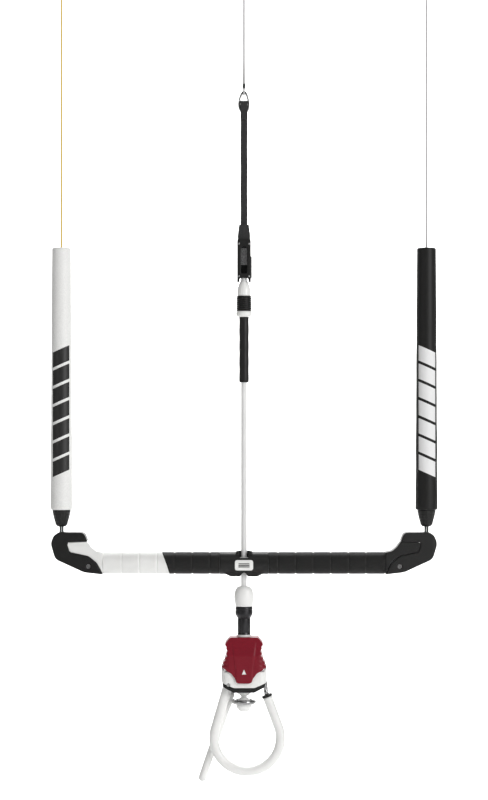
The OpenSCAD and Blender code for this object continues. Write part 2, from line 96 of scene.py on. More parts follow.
def make_stage():
    """A pale floor that curves up into a backdrop."""
    floor_z, back, curve = -0.35, 3.0, 1.2
    profile = [(-9.0, floor_z), (back - curve, floor_z)]
    profile += [(back - curve + curve * math.sin(a), floor_z + curve - curve * math.cos(a))
                for a in np.linspace(0, math.pi / 2, 13)[1:]]
    profile.append((back, 7.0))
    half = 9.0
    verts = [(x, y, z) for y, z in profile for x in (-half, half)]
    faces = [(2 * i, 2 * i + 1, 2 * i + 3, 2 * i + 2) for i in range(len(profile) - 1)]
    floor = mesh_object("stage_floor", verts, faces)
    floor.data.materials.append(plain_material("stage", (0.95, 0.95, 0.95), 0.9))


# ---- Mesh helpers ----


def mesh_object(name, verts, faces, smooth=True):
    mesh = bpy.data.meshes.new(name)
    mesh.from_pydata([tuple(v) for v in verts], [], faces)
    mesh.validate()
    made = bmesh.new()
    made.from_mesh(mesh)
    bmesh.ops.recalc_face_normals(made, faces=made.faces)
    made.to_mesh(mesh)
    made.free()
    for polygon in mesh.polygons:
        polygon.use_smooth = smooth
    thing = bpy.data.objects.new(name, mesh)
    bpy.context.scene.collection.objects.link(thing)
    return thing


def crisp(thing, angle=35):
    """Shades smooth, except over edges sharper than the angle in degrees."""
    bpy.ops.object.select_all(action="DESELECT")
    thing.select_set(True)
    bpy.context.view_layer.objects.active = thing
    bpy.ops.object.shade_smooth_by_angle(angle=math.radians(angle))
    return thing


def grid_mesh(name, rows, caps=True):
    """A skin over rows of points, each row a closed ring, closed at both ends when caps is true."""
    n = len(rows[0])
    verts = [p for row in rows for p in row]
    faces = []
    for i in range(len(rows) - 1):
        for k in range(n):
            m = (k + 1) % n
            faces.append((i * n + k, i * n + m, (i + 1) * n + m, (i + 1) * n + k))
    if caps:
        faces.append(tuple(range(n - 1, -1, -1)))
        faces.append(tuple((len(rows) - 1) * n + k for k in range(n)))
    return mesh_object(name, verts, faces)


def rounded(points, steps=5):
    """[(r, z, fillet)] as an open profile with its corners rounded."""
    made = []
    for i, (r, z, fillet) in enumerate(points):
        if fillet <= 0 or i in (0, len(points) - 1):
            made.append(Vector((r, z)))
            continue
        p = Vector((r, z))
        a = Vector(points[i - 1][:2]) - p
        b = Vector(points[i + 1][:2]) - p
        reach = min(fillet, 0.49 * a.length, 0.49 * b.length)
        start, end = p + a.normalized() * reach, p + b.normalized() * reach
        for t in np.linspace(0, 1, steps):
            made.append(start * (1 - t) ** 2 + p * 2 * t * (1 - t) + end * t * t)
    return made


def lathe(name, points, centre=(0, 0), segments=96, shape=None):
    """A round piece about a vertical axis, from a profile in millimetres. shape(angle, r, z)
    may change the radius. The profile closes on itself, so a bore is part of it."""
    profile = rounded(points)
    rows = []
    for r, z in profile:
        ring = []
        for k in range(segments):
            a = 2 * math.pi * k / segments
            q = shape(a, r, z) if shape else r
            ring.append(((centre[0] + q * math.cos(a)) * MM, (centre[1] + q * math.sin(a)) * MM,
                         z * MM))
        rows.append(ring)
    rows.append(rows[0])
    made = grid_mesh(name, rows, caps=False)
    weld(made)
    return crisp(made, 40)


def weld(thing, distance=1e-6):
    made = bmesh.new()
    made.from_mesh(thing.data)
    bmesh.ops.remove_doubles(made, verts=made.verts, dist=distance)
    bmesh.ops.dissolve_degenerate(made, edges=made.edges, dist=distance / 10)
    bmesh.ops.recalc_face_normals(made, faces=made.faces)
    made.to_mesh(thing.data)
    made.free()


def swept(name, route, radius, sides=16, closed=False, profile=None):
    """A tube, or any closed profile of (side, up) offsets, along a route of points in metres."""
    points = [Vector(p) for p in route]
    n = len(points)
    up = None
    rows = []
    for i, p in enumerate(points):
        after = points[(i + 1) % n] if closed or i < n - 1 else p
        before = points[i - 1] if closed or i else p
        ahead = (after - before).normalized()
        if up is None:
            up = ahead.cross(Vector((0, 1, 0)) if abs(ahead.y) < 0.9 else Vector((1, 0, 0)))
        up = (up - ahead * up.dot(ahead)).normalized()
        side = ahead.cross(up)
        r = radius(i / max(n - 1, 1)) if callable(radius) else radius
        outline = profile or [(r * math.cos(2 * math.pi * k / sides),
                               r * math.sin(2 * math.pi * k / sides)) for k in range(sides)]
        rows.append([p + side * s + up * u for s, u in outline])
    if closed:
        rows.append(rows[0])
    made = grid_mesh(name, rows, caps=not closed)
    if closed:
        weld(made)
    return made


def moulded(node, voxel, rounds):
    """A copy of a CAD node with its edges rounded as in a mould: remeshed, then smoothed."""
    made = bpy.data.objects.new(node + "_skin", frame["nodes"][node].data.copy())
    bpy.context.scene.collection.objects.link(made)
    made.data.materials.clear()
    weld(made, 1e-6)
    remesh = made.modifiers.new("remesh", "REMESH")
    remesh.mode = "VOXEL"
    remesh.voxel_size = voxel * MM
    remesh.use_smooth_shade = True
    smooth = made.modifiers.new("smooth", "SMOOTH")
    smooth.factor = 0.5
    smooth.iterations = rounds
    evaluated = made.evaluated_get(bpy.context.evaluated_depsgraph_get())
    mesh = bpy.data.meshes.new_from_object(evaluated)
    made.modifiers.clear()
    made.data = mesh
    for polygon in mesh.polygons:
        polygon.use_smooth = True
    return made


def shift(thing, rule):
    """Moves each vertex by rule(x, y, z) in millimetres, which returns the move."""
    count = len(thing.data.vertices)
    places = np.zeros(count * 3)
    thing.data.vertices.foreach_get("co", places)
    places = places.reshape(-1, 3)
    places += rule(*(places.T / MM)) * MM
    thing.data.vertices.foreach_set("co", places.ravel())
    thing.data.update()


def box_mesh(name, low, high, bevel):
    """A block with rounded edges between two corners, in millimetres."""
    made = bmesh.new()
    bmesh.ops.create_cube(made, size=1)
    for v in made.verts:
        v.co = Vector([(low[i] + high[i]) / 2 + v.co[i] * (high[i] - low[i])
                       for i in range(3)]) * MM
    bmesh.ops.bevel(made, geom=made.edges[:], offset=bevel * MM, segments=3,
                    affect="EDGES", profile=0.5)
    mesh = bpy.data.meshes.new(name)
    made.to_mesh(mesh)
    made.free()
    thing = bpy.data.objects.new(name, mesh)
    bpy.context.scene.collection.objects.link(thing)
    return crisp(thing, 50)


def place(thing, body, material, slot, *nodes):
    """Gives a piece its body and material, and hides the CAD nodes that it stands for. The slot is not
    used.
    """
    thing.data.materials.clear()
    thing.data.materials.append(material)
    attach(thing, body)
    if nodes:
        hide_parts(*nodes)
    return thing


# ---- Materials ----


class Nodes:
    """Short names for building one material's nodes."""

    def __init__(self, name):
        self.material = bpy.data.materials.new(name)
        self.material.use_nodes = True
        self.tree = self.material.node_tree
        self.shader = self.tree.nodes["Principled BSDF"]
        self.place = self.add("ShaderNodeTexCoord").outputs["Object"]

    def add(self, kind, **inputs):
        made = self.tree.nodes.new(kind)
        for key, value in inputs.items():
            self.give(made.inputs[key.replace("_", " ")], value)
        return made

    def give(self, socket, value):
        if isinstance(value, bpy.types.NodeSocket):
            self.tree.links.new(value, socket)
        else:
            socket.default_value = value

    def math(self, how, a, b=0.0):
        made = self.tree.nodes.new("ShaderNodeMath")
        made.operation = how
        self.give(made.inputs[0], a)
        self.give(made.inputs[1], b)
        return made.outputs[0]

    def noise(self, scale, detail=3.0, stretch=None):
        at = self.place
        if stretch:
            mapped = self.add("ShaderNodeMapping", Vector=at)
            mapped.inputs["Scale"].default_value = stretch
            at = mapped.outputs[0]
        return self.add("ShaderNodeTexNoise", Vector=at, Scale=scale, Detail=detail).outputs["Fac"]

    def wave(self, scale, direction):
        made = self.add("ShaderNodeTexWave", Vector=self.place, Scale=scale, Distortion=0.0)
        made.wave_type = "BANDS"
        made.bands_direction = direction
        made.wave_profile = "SIN"
        return made.outputs["Fac"]

    def ramp(self, fac, stops):
        made = self.add("ShaderNodeValToRGB", Fac=fac)
        made.color_ramp.elements[0].position, made.color_ramp.elements[0].color = stops[0]
        made.color_ramp.elements[1].position, made.color_ramp.elements[1].color = stops[-1]
        for position, colour in stops[1:-1]:
            made.color_ramp.elements.new(position).color = colour
        return made.outputs["Color"]

    def mix(self, fac, a, b):
        made = self.tree.nodes.new("ShaderNodeMix")
        made.data_type = "RGBA"
        self.give(made.inputs[0], fac)
        self.give(made.inputs[6], a)
        self.give(made.inputs[7], b)
        return made.outputs[2]

    def bump(self, height, distance, strength=1.0):
        made = self.add("ShaderNodeBump", Height=height, Strength=strength)
        made.inputs["Distance"].default_value = distance
        self.give(self.shader.inputs["Normal"], made.outputs[0])

    def colour(self, value):
        self.give(self.shader.inputs["Base Color"], value)

    def set(self, **values):
        for key, value in values.items():
            self.give(self.shader.inputs[key.replace("_", " ")], value)


def shade(colour, factor):
    return (*(min(1.0, c * factor) for c in colour[:3]), 1.0)


def plain_material(name, colour, roughness):
    n = Nodes(name)
    n.colour((*colour, 1.0))
    n.set(Roughness=roughness)
    return n.material


def moulded_plastic(name, colour, roughness=0.4, grain=0.03, coat=0.0, shine=0.5):
    """Moulded plastic: faint mottling, a fine spark texture and uneven gloss."""
    n = Nodes(name)
    cloud = n.noise(60.0, 4.0)
    n.colour(n.ramp(cloud, [(0.3, shade(colour, 0.97)), (0.7, shade(colour, 1.02))]))
    n.set(Roughness=n.math("ADD", n.math("MULTIPLY", n.noise(900.0), 0.16), roughness - 0.08))
    n.set(Coat_Weight=coat, Coat_Roughness=0.2, Specular_IOR_Level=shine)
    n.bump(n.noise(2600.0, 2.0), grain * MM, 0.6)
    return n.material


def braid(name, light, hollow_shade, pitch=1.6, gloss=0.5):
    """Braided line: two sets of crossing strands that wind round the line, with painted shade darkening the
    grooves between them.
    """
    n = Nodes(name)
    split = n.add("ShaderNodeSeparateXYZ", Vector=n.add("ShaderNodeNewGeometry").outputs["Normal"])
    angle = n.math("ARCTAN2", split.outputs[1], split.outputs[0])
    place_z = n.add("ShaderNodeSeparateXYZ", Vector=n.place).outputs[2]
    along = n.math("MULTIPLY", place_z, 2 * math.pi / (pitch * MM))
    turn = n.math("MULTIPLY", angle, 3.0)
    one = n.math("SINE", n.math("ADD", along, turn))
    two = n.math("SINE", n.math("SUBTRACT", along, turn))
    height = n.math("MAXIMUM", one, two)
    fac = n.math("MULTIPLY", n.math("ADD", height, 1.0), 0.5)
    fibre = n.math("MULTIPLY", n.noise(1500.0, 2.0, (1.0, 1.0, 0.15)), 0.25)
    # Colour follows the strand height: the dark colour is painted shade in the grooves, the light one the
    # strand crowns.
    n.colour(n.ramp(n.math("SUBTRACT", fac, fibre), [(0.25, (*hollow_shade, 1.0)), (0.75, (*light, 1.0))]))
    n.set(Roughness=gloss)
    n.set(Sheen_Weight=0.15)
    n.bump(fac, 0.12 * MM, 0.8)
    return n.material


def webbing(name, light, hollow_shade):
    """Woven strap: ribs across, chevron twill and fuzzy fibres, with painted shade darkening the low
    threads of the weave.
    """
    n = Nodes(name)
    across = n.wave(1 / (3.6 * MM), "Z")
    split = n.add("ShaderNodeSeparateXYZ", Vector=n.place)
    fold = n.math("ABSOLUTE", split.outputs[0])
    run = n.math("MULTIPLY", n.math("ADD", split.outputs[2], n.math("MULTIPLY", fold, 1.4)),
                 2 * math.pi / (1.3 * MM))
    twill = n.math("MULTIPLY", n.math("ADD", n.math("SINE", run), 1.0), 0.5)
    fac = n.math("ADD", n.math("MULTIPLY", twill, 0.7), n.math("MULTIPLY", across, 0.3))
    fac = n.math("SUBTRACT", fac, n.math("MULTIPLY", n.noise(1800.0), 0.3))
    # Colour follows the weave height that drives the bump: the dark colour is painted shade in its hollows.
    n.colour(n.ramp(fac, [(0.1, (*hollow_shade, 1.0)), (0.7, (*light, 1.0))]))
    n.set(Roughness=0.8)
    n.set(Sheen_Weight=0.2)
    n.bump(fac, 0.15 * MM, 0.9)
    return n.material


def brushed(name, colour, roughness):
    """Metal with fine turning or brushing marks and slight smudges."""
    n = Nodes(name)
    marks = n.noise(2400.0, 2.0, (1.0, 1.0, 0.04))
    smudge = n.noise(120.0, 3.0)
    n.colour(n.ramp(smudge, [(0.3, shade(colour, 0.88)), (0.7, shade(colour, 1.05))]))
    n.set(Metallic=1.0)
    n.set(Roughness=n.math("ADD", n.math("MULTIPLY", marks, 0.2), roughness - 0.1))
    n.bump(marks, 0.012 * MM, 0.5)
    return n.material


def grip_rubber(name, colour, shine=0.5):
    """Moulded grip: fine pimples, a soft sheen and worn lighter patches."""
    n = Nodes(name)
    pimples = n.add("ShaderNodeTexVoronoi", Vector=n.place, Scale=1400.0).outputs["Distance"]
    wear = n.noise(45.0, 5.0)
    n.colour(n.ramp(wear, [(0.32, shade(colour, 0.95)), (0.72, shade(colour, 1.04))]))
    n.set(Roughness=n.math("ADD", n.math("MULTIPLY", wear, 0.2), 0.42), Specular_IOR_Level=shine)
    n.bump(n.math("ADD", n.math("MULTIPLY", pimples, -1.0), n.math("MULTIPLY", wear, 0.4)),
           0.06 * MM, 0.7)
    return n.material


def float_foam(name, colour, ink, side, shine=0.5):
    """Closed-cell foam with a smooth skin, and a plain band of slanted bars printed on its front."""
    n = Nodes(name)
    split = n.add("ShaderNodeSeparateXYZ", Vector=n.place)
    low, high, bars = 0.393, 0.565, 7
    step = (high - low) / bars
    off = n.math("SUBTRACT", split.outputs[0], line_centre(side))
    slant = n.math("MULTIPLY", off, 0.45 * side)
    along = n.math("SUBTRACT", n.math("ADD", split.outputs[2], slant), low)
    share = n.math("FRACT", n.math("DIVIDE", along, step))
    bar = n.math("MULTIPLY", n.math("GREATER_THAN", share, 0.16), n.math("GREATER_THAN", along, 0.0))
    bar = n.math("MULTIPLY", bar, n.math("LESS_THAN", along, high - low))
    bar = n.math("MULTIPLY", bar, n.math("LESS_THAN", n.math("ABSOLUTE", off), 0.0112))
    bar = n.math("MULTIPLY", bar, n.math("LESS_THAN", split.outputs[1], 0.0))
    cells = n.noise(700.0, 4.0)
    skin = n.ramp(cells, [(0.3, shade(colour, 0.93)), (0.7, shade(colour, 1.05))])
    n.colour(n.mix(bar, skin, (*ink, 1.0)))
    n.set(Roughness=n.math("ADD", n.math("MULTIPLY", cells, 0.15), 0.4), Specular_IOR_Level=shine)
    pits = n.add("ShaderNodeTexVoronoi", Vector=n.place, Scale=1100.0).outputs["Distance"]
    n.bump(n.math("ADD", pits, n.math("MULTIPLY", n.noise(90.0), 2.0)), 0.05 * MM, 0.5)
    return n.material


def line_centre(side):
    """X of the steering line on that side."""
    low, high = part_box("float_left" if side < 0 else "float_right")
    return (low.x + high.x) / 2


WHITE = (0.87, 0.87, 0.85)
BLACK = (0.011, 0.011, 0.0105)
STEEL = (0.4, 0.4, 0.4)


def all_materials():
    return {
        "white_shell": moulded_plastic("white_shell", WHITE, 0.36, coat=0.2),
        "black_shell": moulded_plastic("black_shell", BLACK, 0.42, 0.05, shine=0.3),
        "red_sleeve": moulded_plastic("red_sleeve", (0.2, 0.005, 0.016), 0.4, 0.04, 0.0, 0.25),
        "steel": brushed("steel", STEEL, 0.22),
        "core_alloy": brushed("core_alloy", (0.55, 0.55, 0.57), 0.35),
        "black_metal": brushed("black_metal", (0.05, 0.05, 0.052), 0.34),
        "grip_white": grip_rubber("grip_white", WHITE),
        "grip_black": grip_rubber("grip_black", BLACK, 0.25),
        "float_white": float_foam("float_white", WHITE, BLACK, -1),
        "float_black": float_foam("float_black", BLACK, (0.8, 0.8, 0.8), 1, 0.25),
        "loop_white": moulded_plastic("loop_white", WHITE, 0.38, 0.02, 0.3),
        "coated_line": moulded_plastic("coated_line", (0.8, 0.8, 0.79), 0.22, 0.015, 0.6),
        "webbing": webbing("webbing", (0.03, 0.03, 0.031), (0.006, 0.006, 0.006)),
        "leader_cord": braid("leader_cord", (0.1, 0.11, 0.1), (0.015, 0.015, 0.015), 3.0, 0.6),
        "line_gold": braid("line_gold", (0.95, 0.68, 0.2), (0.62, 0.42, 0.1), 2.2),
        "line_grey": braid("line_grey", (0.6, 0.6, 0.6), (0.34, 0.34, 0.34), 2.2),
    }


# ---- Flying lines ----

LINE_D = 3.0 * MM
LINE_Z = [0.680, 0.700, 0.725, 0.750, 0.775, 0.800, 0.825, 0.850, 0.875, 0.900, 0.925, 0.950,
          0.975, 1.000, 1.025, 1.046]
FRONT_Z = [0.950, 0.956, 0.962, 0.968, 0.974, 0.980, 0.986, 0.992, 0.998, 1.004, 1.010, 1.016,
           1.022, 1.030, 1.038, 1.046]


def line_end(name, x, material, slot, body, node):
    """A figure-eight stopper knot and the open loop above it."""
    knot_z, size = 1.0495, 0.0022
    knot = [(x + size * (2 + math.cos(2 * t)) * math.cos(3 * t) * 0.55,
             size * (2 + math.cos(2 * t)) * math.sin(3 * t) * 0.55,
             knot_z + size * math.sin(4 * t) * 1.1)
            for t in np.linspace(0, 2 * math.pi, 97)[:-1]]
    lower = place(swept(name + "_knot", knot, 1.15 * MM, 10, closed=True), body, material, slot)
    loop = []
    for t in np.linspace(0, 2 * math.pi, 65)[:-1]:
        width = 0.0094 * math.sin(t) * math.sin(t / 2) ** 1.3
        loop.append((x + width, 0.0006 * math.sin(2 * t), 1.0515 + 0.0195 * math.sin(t / 2)))
    upper = place(swept(name + "_loop", loop, 1.1 * MM, 10, closed=True), body, material, slot, node)
    return [lower, upper]


def flying_line(name, x, heights, material, slot, body, end_node):
    curve = bpy.data.curves.new(name, "CURVE")
    curve.dimensions = "3D"
    curve.bevel_depth = LINE_D / 2
    curve.bevel_resolution = 5
    spline = curve.splines.new("POLY")
    spline.points.add(len(heights) - 1)
    for point, z in zip(spline.points, heights):
        point.co = (x, 0, z, 1)
    curve.use_fill_caps = True
    cord = bpy.data.objects.new(name + "_cord", curve)
    bpy.context.scene.collection.objects.link(cord)
    place(cord, body, material, slot, name)
    ends = line_end(end_node + "_tied", x, material, slot, body, end_node)


def make_lines(m):
    left, right = line_centre(-1), line_centre(1)
    flying_line("steering_line_left", left, LINE_Z, m["line_gold"], "line_gold",
                "left_float", "line_end_left")
    flying_line("steering_line_right", right, LINE_Z, m["line_grey"], "line_grey",
                "right_float", "line_end_right")
    flying_line("front_line", 0.0, FRONT_Z, m["line_grey"], "line_grey",
                "thimble", "front_line_end")


# ---- Floats, cones and leaders ----


def make_float(side, m):
    label = "left" if side < 0 else "right"
    x = line_centre(side) / MM
    low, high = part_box("float_" + label)
    z0, z1 = low.z / MM, high.z / MM
    r1, r2, bore = 15.0, 12.9, 3.3
    body = label + "_float"
    steps = [(bore, z0, 0), (r1 - 0.6, z0, 1.6)]
    for share in np.linspace(0.006, 0.99, 60):
        swell = 0.18 * math.sin(share * 31) * math.sin(share * 7)
        steps.append((r1 + (r2 - r1) * share + swell, z0 + (z1 - z0) * share, 0))
    steps += [(r2 - 0.1, z1 - 1.0, 1.5), (r2 - 2.0, z1, 1.5), (bore + 1, z1, 1), (bore, z1 - 1, 0)]
    tube = place(lathe("float_" + label + "_foam", steps, (x, 0), 128), body,
                 m["float_white" if side < 0 else "float_black"],
                 "float_white" if side < 0 else "float_black", "float_" + label)

    low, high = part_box("float_cone_" + label)
    z0, z1 = low.z / MM, high.z / MM
    cone = [(bore, z0 + 0.2, 0), (5.2, z0, 1.2), (7.6, z0 + 2.2, 2.0), (10.4, z0 + 12, 4),
            (12.3, z1 - 1.6, 1), (12.6, z1 - 0.7, 0.6), (12.2, z1, 0.4), (bore, z1, 0)]

    def netted(angle, r, z):
        if r < 6 or z > z1 - 1.5:
            return r
        return r + 0.35 * math.sin(9 * angle + (z - z0) * 0.8) * math.sin(9 * angle - (z - z0) * 0.8)

    dense = []
    profile = rounded(cone)
    for a, b in zip(profile, profile[1:]):
        for t in np.linspace(0, 1, max(2, int((b - a).length / 0.5)))[:-1]:
            dense.append((*(a + (b - a) * t), 0))
    dense.append((*profile[-1], 0))
    place(lathe("float_cone_" + label + "_net", dense, (x, 0), 144, netted), body,
          m["black_shell"], "black_shell", "float_cone_" + label)

    low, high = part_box("leader_" + label)
    for k, off in enumerate((-1.5, 1.5)):
        route = [(x * MM + off * MM, 0, z) for z in np.linspace(low.z + 0.003, high.z, 40)]
        strand = swept(f"leader_{label}_strand_{k}", route, 1.42 * MM, 14)
        place(strand, body, m["leader_cord"], "leader_cord", *(["leader_" + label] if k else []))
    centre = 308.0 * MM
    knot = [(x * MM + 0.0009 * (2 + math.cos(2 * t)) * math.cos(3 * t),
             0.0009 * (2 + math.cos(2 * t)) * math.sin(3 * t) * 0.8,
             centre + 0.0022 * math.sin(4 * t)) for t in np.linspace(0, 2 * math.pi, 97)[:-1]]
    place(swept(f"leader_{label}_knot", knot, 0.9 * MM, 10, closed=True), body,
          m["leader_cord"], "leader_cord")


# ---- Bar ----

GROOVE = 23.8
BAR_Z = 275.5
GRIP_R = 14.9


def grip_skin(name, start, end, material, slot, node, ribs, slant_start=0.0, slant_end=0.0):
    """A grip along X with grooves round it and fine ribs along it. slant is the lean of an end."""
    around, along = 192, max(60, int((end - start) / 0.75))
    inner = 8.05
    rows = []
    for i in range(along + 1):
        t = i / along
        ring = []
        for k in range(around):
            a = 2 * math.pi * k / around
            lean = (1 - t) * slant_start + t * slant_end
            rise = GRIP_R * math.sin(a)
            x = start + (end - start) * t - lean * rise - lean * 0.012 * rise * rise
            to_groove = min(abs(abs(x) - (n * GROOVE - 1.5)) for n in range(2, 8))
            cut = 0.85 * math.exp(-(to_groove / 0.8) ** 2)
            edge = min(abs(x - start), abs(end - x)) if not lean else 3.0
            cut += 0.35 * math.exp(-edge / 0.5)
            fine = ribs * max(0.0, math.sin(a * 44)) ** 2 * min(1.0, to_groove / 1.5)
            r = GRIP_R - cut - fine
            ring.append((x * MM, r * math.cos(a) * MM, (BAR_Z + r * math.sin(a)) * MM))
        rows.append(ring)
    for ring, at in ((rows[0], 0), (rows[-1], 1)):
        inside = [(p[0], (p[1]) * inner / GRIP_R, BAR_Z * MM + (p[2] - BAR_Z * MM) * inner / GRIP_R)
                  for p in ring]
        if at == 0:
            rows.insert(0, inside)
        else:
            rows.append(inside)
    rows.append(rows[0])
    made = grid_mesh(name, rows, caps=False)
    weld(made)
    place(crisp(made, 45), "bar", material, slot, node)


def make_bar(m):
    cut, lean = -105.0, math.tan(math.radians(19))
    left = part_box("grip_left_white")[0].x / MM
    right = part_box("grip_right_black")
    inner = right[0].x / MM
    grip_skin("grip_white_skin", left, cut, m["grip_white"], "grip_white", "grip_left_white", 0.1,
              slant_end=lean)
    grip_skin("grip_black_left_skin", cut + 0.15, -inner, m["grip_black"], "grip_black",
              "grip_left_black", 0.28, slant_start=lean)
    grip_skin("grip_black_right_skin", inner, right[1].x / MM, m["grip_black"], "grip_black",
              "grip_right_black", 0.28)
    place(moulded("centre_housing", 0.6, 6), "bar", m["black_shell"], "black_shell",
          "centre_housing")
    for label, shade_name in (("left", "white_shell"), ("right", "black_shell")):
        place(moulded("end_body_" + label, 0.6, 6), "bar", m[shade_name], shade_name,
              "end_body_" + label)
        place(moulded("end_cover_" + label, 0.6, 7), "bar", m["black_shell"], "black_shell",
              "end_cover_" + label)
    badge = moulded("centre_badge", 0.25, 3)
    place(badge, "bar", m["white_shell"], "white_shell", "centre_badge")
    low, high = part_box("centre_badge")
    middle = (low.z + high.z) / 2 / MM
    front = low.y / MM
    for k, z in enumerate((-2.1, 0.0, 2.1)):
        place(box_mesh(f"badge_rib_{k}", (-7.4, front - 0.3, middle + z - 0.55),
                       (7.4, front + 0.6, middle + z + 0.55), 0.25), "bar",
              m["black_shell"], "black_shell")


# ---- Depower line, cleat and trimmer ----


def round_piece(name, points, body, m, slot, *nodes, segments=96, shape=None):
    return place(lathe(name, points, (0, 0), segments, shape), body, m[slot], slot, *nodes)


def make_upper(m):
    low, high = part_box("depower_line")
    line_r = 4.0
    z0, z1 = low.z / MM, high.z / MM
    round_piece("depower_skin", [(0.01, z0, 0), (line_r - 0.02, z0, 0), (line_r - 0.02, z1, 0),
                                 (0.01, z1, 0)], "upper", m, "coated_line", "depower_line")
    low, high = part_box("stopper_sleeve")
    z0, z1, r, bore = low.z / MM, high.z / MM, 6.5, line_r + 0.1
    waves = [(r + 0.12 * math.sin(s * 26) - (0.25 if s < 0.02 or s > 0.98 else 0), z0 + (z1 - z0) * s, 0)
             for s in np.linspace(0, 1, 90)]
    round_piece("stopper_sleeve_skin", [(bore, z0, 0), *waves, (bore, z1, 0)], "upper", m,
                "black_shell", "stopper_sleeve")
    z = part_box("line_guide")[0].z / MM
    guide = [(bore, z + 5, 0), (8.4, z + 4, 0.3), (8.4, z, 0.2), (9.0, z, 0.4), (9.2, z + 2, 0.5),
             (9.2, z + 5, 0), (9.0, z + 8, 0), (8.4, z + 11, 0), (7.6, z + 13.5, 0),
             (6.5, z + 16.2, 0), (5.4, z + 18.2, 0), (4.7, z + 19.6, 0.3), (bore, z + 20, 0)]
    round_piece("line_guide_skin", guide, "upper", m, "white_shell", "line_guide")

    low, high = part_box("trim_lines")
    for k, x in enumerate((-7.5, 7.5)):
        route = [(x * MM, 0, z) for z in np.linspace(low.z, high.z, 24)]
        strand = swept(f"trim_line_{k}", route, 0.8 * MM, 12)
        strand.data.materials.append(m["leader_cord"])
        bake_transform(strand)
        if k:
            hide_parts("trim_lines")

    place(moulded("cleat_body", 0.45, 5), "upper", m["black_shell"], "black_shell", "cleat_body")
    place(moulded("cleat_mouth", 0.4, 6), "upper", m["webbing"], "webbing", "cleat_mouth")
    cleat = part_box("cleat_body")
    for k, x in enumerate((-6.9, 6.9)):
        for j, share in enumerate((0.14, 0.9)):
            z = (cleat[0].z + (cleat[1].z - cleat[0].z) * share) / MM
            rivet = lathe(f"cleat_rivet_{k}_{j}", [(0.01, -0.9, 0), (1.3, -0.9, 0.2), (1.5, -0.2, 0.4),
                                                   (0.9, 0.35, 0.5), (0.01, 0.4, 0)], (0, 0), 32)
            rivet.data.transform(turned_to_front(x, cleat[0].y / MM, z))
            place(rivet, "upper", m["steel"], "steel")

    low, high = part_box("trim_grip")
    z0, z1, r, bore = low.z / MM, high.z / MM, 10.3, 6.95
    ribs = 7
    grip = [(bore, z0, 0), (r - 0.6, z0, 0.6), (r, z0 + 0.7, 0.4)]
    for k in range(ribs):
        a = z0 + 0.7 + (z1 - z0 - 1.4) * (k + 0.25) / ribs
        b = z0 + 0.7 + (z1 - z0 - 1.4) * (k + 0.75) / ribs
        grip += [(r, a, 0.35), (r - 0.9, a + 0.45, 0.35), (r - 0.9, b - 0.45, 0.35), (r, b, 0.35)]
    grip += [(r, z1 - 0.7, 0.4), (r - 0.6, z1, 0.6), (bore, z1, 0)]
    round_piece("trim_grip_skin", grip, "trim_handle", m, "black_shell", "trim_grip")
    low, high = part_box("trim_rim")
    z0, z1, r = low.z / MM, high.z / MM, 10.75
    rim = [(bore, z0, 0), (r - 2.6, z0, 0.8), (r - 0.6, z0 + 1.4, 1.4), (r, z0 + 3.2, 1.2),
           (r, z1 - 1.4, 0.8), (r - 1.2, z1, 0.6), (bore, z1, 0)]
    round_piece("trim_rim_skin", rim, "trim_handle", m, "white_shell", "trim_rim")


def turned_to_front(x, y, z):
    """The move that takes a piece made about +Z to the front face at x, y, z in millimetres."""
    return Matrix.Translation(Vector((x, y, z)) * MM) @ Matrix.Rotation(math.radians(90), 4, "X")


STITCH = (0.55, 0.22, 1.5)     # width, half thickness and length of a stitch, in millimetres


def stitches(name, spots, body, m):
    """A group of thread stitches: small rounded bars at (x, y, z, turn) in millimetres."""
    sides, rings = 8, 7
    width, depth, length = STITCH
    verts, faces = [], []
    for x, y, z, turn in spots:
        base = len(verts)
        c, s = math.cos(turn), math.sin(turn)
        for t in np.linspace(-1, 1, rings):
            bulge = math.sqrt(max(0.0, 1 - (t * 0.97) ** 2))
            for k in range(sides):
                a = 2 * math.pi * k / sides
                u, v = width / 2 * math.cos(a) * bulge, depth * math.sin(a) * bulge
                w = t * length / 2
                verts.append(((x + u * c + w * s) * MM, (y + v) * MM, (z - u * s + w * c) * MM))
        for i in range(base, base + (rings - 1) * sides, sides):
            for k in range(sides):
                n = (k + 1) % sides
                faces.append((i + k, i + n, i + sides + n, i + sides + k))
        faces.append(tuple(base + k for k in range(sides - 1, -1, -1)))
        faces.append(tuple(base + (rings - 1) * sides + k for k in range(sides)))
    place(mesh_object(name, verts, faces), body, m["webbing"], "webbing")


